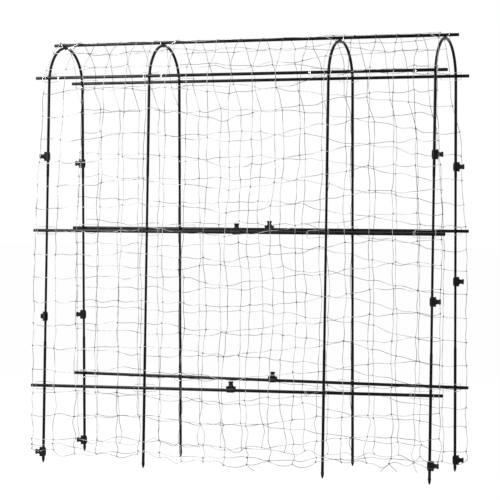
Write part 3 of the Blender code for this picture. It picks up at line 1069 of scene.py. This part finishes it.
def netRows():
    # How far round the tunnel each row of knots is, from the front hem to the back hem
    halves = []
    for half in (net["rowsFront"], net["rowsBack"]):
        heights = [half["lowest"] + net["rowStep"] * step for step in range(half["count"])]
        heights.insert(0, half["hem"])
        rows = [height / math.cos(splay) for height in heights]
        halves.append(rows + [upperGirth + extra for extra in half["roof"]])
    return halves[0] + [2 * ridgeGirth - girth for girth in reversed(halves[1])]


def onNet(x, girth, lift):
    # The point of the net at this distance round the tunnel, this far outside of where it rests
    side = -1 if girth <= ridgeGirth else 1
    near = toGround(girth)
    if near <= upperGirth:
        point = legPoint(side, near * math.cos(splay), netOffset + lift)
    else:
        t = (near - upperGirth) / roofLength
        angle = outline["upperBarAngle"] + t * (math.pi / 2 - outline["upperBarAngle"])
        sagged = (1 - math.cos(2 * math.pi * t)) / 2
        toArch = min(abs(x - station) for station in outline["stations"])
        offArch = fade(toArch, *net["haunchSpan"])
        haunch = net["archTouch"] + (net["chordRadius"] - net["archTouch"]) * offArch
        radius = net["restRadius"] + (haunch - net["restRadius"]) * sagged
        point = archPoint(side, angle, radius + lift)
    return Vector((x, point.y, point.z))


def wireSpans():
    # The stretches of each bar that a wire clip covers, as (girth, lowest x, highest x)
    order = ["lower_front", "middle_front", "upper_front", "ridge_back"]
    order += ["upper_back", "middle_back", "lower_back"]
    for girth, label in zip(barGirths, order):
        for hoopX, reach in zip(outline["stations"], wireClip["reach"][label]):
            yield girth, hoopX + reach[0] * mm, hoopX + reach[1] * mm


wireCover = list(wireSpans())


def netLift(x, girth):
    # The strands touch the bars, go over the wire clips and belly out a little in between.
    nearest = toBar(girth)
    belly = net["belly"] * (0.5 + 0.5 * smoothNoise(x, girth, netStray["bellyWaves"]))
    lift = belly * fade(nearest, *net["bellySpan"])
    for bar, low, high in wireCover:
        nearWire = 1 - fade(abs(girth - bar), *net["wireSpan"])
        alongWire = 1 - fade(max(low - x, x - high, 0.0), *net["wireEndSpan"])
        lift += net["overWire"] * nearWire * alongWire
    atEnd = fade(abs(x), *net["endSpan"])
    return lift + net["endFlare"] * atEnd * fade(nearest, *netStray["betweenBars"])


def netPull(i, x, near, front):
    # The net was pulled a little to the left of the middle clips, and its ends are drawn in
    # towards the roof.
    pull = netStray
    atClips = 1 - fade(min(abs(near - girth) for girth in frontGirths[:2]), *pull["clipSpan"])
    middle = math.exp(-(((i - pull["pullColumn"]) / pull["pullWidth"]) ** 2))
    shift = (-pull["pull"] - pull["pullAtClips"] * atClips) * mm * middle / pull["pullPeak"]
    end = (abs(x) / net["halfLength"]) ** 3 * math.copysign(1, x)
    shift -= sum(reach * fade(near, low, high) for reach, low, high in pull["drawnIn"]) * end
    roof = fade(near, upperGirth, ridgeGirth)
    if front:
        return shift - pull["frontRoofShift"] * roof
    top = fade(near, pull["backTopFrom"], upperGirth)
    return shift - (pull["backTopShift"] * top - pull["backRoofShift"] * roof)


def riseAt(table, x):
    # A value from one of netRise's tables, whose first and last hold beyond its ends
    spot = max(0.0, min(len(table) - 1.001, (x - netRise["start"]) / netRise["step"]))
    step = int(spot)
    return table[step] + (table[step + 1] - table[step]) * (spot - step)


def rowRise(j, x, near, front):
    # How far a row stands above its even height here. The front's first two follow its hem,
    # and the back's hem is even.
    rise = netRise
    calmed = 1 - rise["calmRoof"] * fade(near, rise["calmFrom"], ridgeGirth)
    if front:
        raised = riseAt(rise["front"], x) * mm * calmed
        hem = riseAt(rise["frontHem"], x) * mm
        if j == 0:
            return hem
        return max(raised, hem + rise["overHem"]) if j == 1 else raised
    if near < rise["backHem"]:
        return 0.0
    low = 1 - fade(near, *rise["lowSpan"])
    high = fade(near, *rise["highSpan"])
    raised = riseAt(rise["backLow"], x) * low + riseAt(rise["backHigh"], x) * high
    raised += riseAt(rise["backMiddle"], x) * (1 - low - high)
    return raised * (-mm * calmed)


def netShift(i, j, girth):
    # How far a knot stands from its even place, along the tunnel and round it
    x = -net["halfLength"] + net["columnStep"] * i
    near, front = toGround(girth), girth < ridgeGirth
    stray = netStray
    along = stray["along"] * smoothNoise(x, girth, stray["alongWaves"])
    along += anyWay(stray["alongAny"])
    around = stray["around"] * smoothNoise(x, girth, stray["aroundWaves"])
    around += anyWay(stray["aroundAny"])
    calm = 1.0
    if i in stray["clipColumns"]:
        free = fade(toBar(girth), *stray["betweenBars"])
        calm = stray["clipCalm"] + (1 - stray["clipCalm"]) * free
    elif i in (0, net["columns"]):
        along = abs(along) * (1 if i else -1)
        calm = stray["endCalm"]
    # Towards the roof it is looser.
    along += anyWay(stray["roofAny"]) * fade(near, *stray["roofSpan"])
    return netPull(i, x, near, front) + along * calm, around * calm + rowRise(j, x, near, front)


def netKnots():
    places = {}
    rows = netRows()
    for j, girth in enumerate(rows):
        for i in range(net["columns"] + 1):
            along, around = netShift(i, j, girth)
            x = -net["halfLength"] + net["columnStep"] * i + along
            places[i, j] = (x, girth + around)
    return places, len(rows)


def strandPath(ends, swing, sag):
    # From knot to knot, each stretch hangs to one side and keeps an S from the folded net.
    # Near the ground, where nothing pulls on it, it sways further.
    path = []
    for (x0, g0), (x1, g1) in zip(ends, ends[1:]):
        loose = 1 + net["hemLoose"] * (1 - fade(toGround(g0), *net["looseSpan"]))
        loose *= min(1.0, math.hypot(x1 - x0, g1 - g0) / net["shortStretch"])
        bowX = random.uniform(-1, 1) * swing * loose
        twistX = random.uniform(-0.5, 0.5) * swing * loose
        bowG = random.uniform(-1.0, 0.55) * sag
        twistG = random.uniform(-0.45, 0.45) * sag
        for step in range(net["steps"]):
            t = step / net["steps"]
            bow, twist = 4 * t * (1 - t), math.sin(2 * math.pi * t)
            x = x0 + (x1 - x0) * t + bowX * bow + twistX * twist
            girth = g0 + (g1 - g0) * t + bowG * bow + twistG * twist
            highest = 2 * ridgeGirth - net["offGround"]
            path.append((x, min(max(girth, net["offGround"]), highest)))
    path.append(ends[-1])
    return [onNet(x, girth, netLift(x, girth)) for x, girth in path]


def knotLoop(centre, normal, steps=10):
    # A closed loop that crosses itself three times, pulled small
    turn = Matrix.Rotation(random.uniform(0, 2 * math.pi), 3, "Z")
    facing = normal.to_track_quat("Z", "Y").to_matrix() @ turn
    size = net["knotSize"] * random.uniform(0.6, 1.3)
    points = []
    for step in range(steps):
        a = 2 * math.pi * step / steps
        x = (math.sin(a) + 1.1 * math.sin(2 * a)) * 0.62
        y = (math.cos(a) - 1.1 * math.cos(2 * a)) * 0.62
        points.append(centre + facing @ Vector((x, y, -math.sin(3 * a) * 0.55)) * size)
    return points


def buildNet():
    places, rowCount = netKnots()
    columns = net["columns"]
    paths = []
    for j in range(rowCount):
        row = [places[i, j] for i in range(columns + 1)]
        sag = net["hemSag"] if j in (0, rowCount - 1) else net["rowSag"]
        paths.append(strandPath(row, net["rowSwing"], sag if j < rowCount / 2 else -sag))
    for i in range(columns + 1):
        column = [places[i, j] for j in range(rowCount)]
        paths.append(strandPath(column, net["columnSwing"], net["columnSag"]))
    for i, along, around in net["tails"]:
        x, girth = places[i, 0]
        ends = [(x, girth), (x + along, girth + around)]
        paths.append(strandPath(ends, net["tailSwing"], net["tailSag"]))
    mesh = curveMesh("net", paths, net["strand"], netTwine)
    nodes = ["net_front", "net_roof_front", "net_roof_top", "net_roof_back", "net_back"]
    addPiece("net_strands", mesh, nodes, "net")
    loops = []
    for x, girth in places.values():
        centre = onNet(x, girth, netLift(x, girth) + net["knotProud"])
        normal = onNet(x, girth, 0.01) - onNet(x, girth, 0.0)
        loops.append(knotLoop(centre, normal.normalized()))
    # The knot loops wear the darker copy of the twine, which is painted shade.
    mesh = curveMesh("netKnots", loops, net["knotStrand"], shadedKnotTwine, closed=True, resolution=0)
    addPiece("net_knots", mesh, slot="net")
    print("tunnel: net made,", len(paths), "strands and", len(loops), "knots")


# Floor, light and camera

studio = {
    "floorRadius": 60.0,
    "floorColour": (0.80, 0.80, 0.80, 1),
    "floorSeenColour": (0.05, 0.05, 0.05, 1),
    "floorShown": 0.966,
    "skyColour": (0.97, 0.985, 1.0, 1),
    "skyStrength": 0.35,
    "softbox": {
        "place": (-1.95, -2.0, 2.5),
        "aim": (-0.2, 0.0, 1.0),
        "size": (1.0, 1.4),
        "power": 220,
    },
    "sun": {"fromWhere": (0.35, -0.9, 1.3), "strength": 0.4, "spread": math.radians(28.0)},
}


def seenDirectly(tree):
    # 1 for rays from the camera, and for those that a shiny or clear surface sends
    path = node(tree, "LightPath")
    seen = path.outputs["Is Camera Ray"]
    for kind in ("Glossy", "Transmission"):
        seen = combine(tree, "MAXIMUM", seen, path.outputs[f"Is {kind} Ray"])
    return seen


def buildFloor():
    bm = bmesh.new()
    bmesh.ops.create_circle(bm, cap_ends=True, segments=64, radius=studio["floorRadius"])
    material = bpy.data.materials.new("paleFloor")
    material.use_nodes = True
    tree = material.node_tree
    tree.nodes.remove(tree.nodes["Principled BSDF"])
    seen = seenDirectly(tree)
    colour = mixColour(tree, seen, studio["floorColour"], studio["floorSeenColour"])
    matt = node(tree, "BsdfDiffuse", {"Color": colour})
    strength = combine(tree, "MULTIPLY", seen, studio["floorShown"])
    glow = node(tree, "Emission", {"Color": (1, 1, 1, 1), "Strength": strength})
    both = node(tree, "AddShader", {0: matt.outputs[0], 1: glow.outputs[0]})
    tree.links.new(both.outputs[0], tree.nodes["Material Output"].inputs["Surface"])
    floor = newObject("floor", finishMesh(bm, "floor", [material]))


def buildWorld():
    world = bpy.data.worlds.new("studioWhite")
    bpy.context.scene.world = world
    world.use_nodes = True
    tree = world.node_tree
    tree.nodes.clear()
    sky = {"Color": studio["skyColour"], "Strength": studio["skyStrength"]}
    light = node(tree, "Background", sky).outputs[0]
    white = node(tree, "Background", {"Color": (1, 1, 1, 1), "Strength": 1.0}).outputs[0]
    chosen = node(tree, "MixShader", {0: seenDirectly(tree), 1: light, 2: white})
    out = node(tree, "OutputWorld")
    tree.links.new(chosen.outputs[0], out.inputs["Surface"])


def addLamp(name, kind, turn):
    lamp = bpy.data.lights.new(name, kind)
    holder = newObject(name, lamp)
    holder.rotation_euler = turn.to_euler()
    return lamp, holder


def addSoftbox(place, aim, size, power):
    turn = (Vector(aim) - Vector(place)).to_track_quat("-Z", "Y")
    lamp, holder = addLamp("softbox", "AREA", turn)
    lamp.shape = "RECTANGLE"
    lamp.size, lamp.size_y = size
    lamp.energy = power
    holder.location = place
    holder.visible_camera = False


def addSun(fromWhere, strength, spread):
    lamp, _ = addLamp("sun", "SUN", Vector(fromWhere).to_track_quat("Z", "Y"))
    lamp.energy = strength
    lamp.angle = spread


photoCamera = {
    "place": (2.793, -7.471, 1.069),
    "yaw": math.radians(20.42),
    "pitch": math.radians(-1.04),
    "roll": math.radians(0.376),
    "focalPixels": 1876.8,
    "sensor": 36.0,
    "imageWidth": 500,
    "clipEnd": 200,
}


def buildCamera():
    size = photoCamera
    yaw, pitch, roll = size["yaw"], size["pitch"], size["roll"]
    ahead = Vector(
        (-math.sin(yaw) * math.cos(pitch), math.cos(yaw) * math.cos(pitch), math.sin(pitch))
    )
    right = Vector((math.cos(yaw), math.sin(yaw), 0))
    up = right.cross(ahead)
    rolledRight = right * math.cos(roll) + up * math.sin(roll)
    rolledUp = up * math.cos(roll) - right * math.sin(roll)
    turn = Matrix((rolledRight, rolledUp, -ahead)).transposed().to_4x4()
    data = bpy.data.cameras.new("photoCamera")
    data.sensor_width = size["sensor"]
    data.lens = size["focalPixels"] * size["sensor"] / size["imageWidth"]
    data.clip_end = size["clipEnd"]
    camera = newObject("photoCamera", data)
    camera.matrix_world = Matrix.Translation(size["place"]) @ turn
    bpy.context.scene.camera = camera


buildCamera()
buildFloor()
buildWorld()
addSoftbox(**studio["softbox"])
addSun(**studio["sun"])
bpy.context.scene.view_settings.view_transform = "Standard"
print("tunnel: studio made")

buildHoops()
buildBars()
buildClips()
buildWireClips()
buildNet()
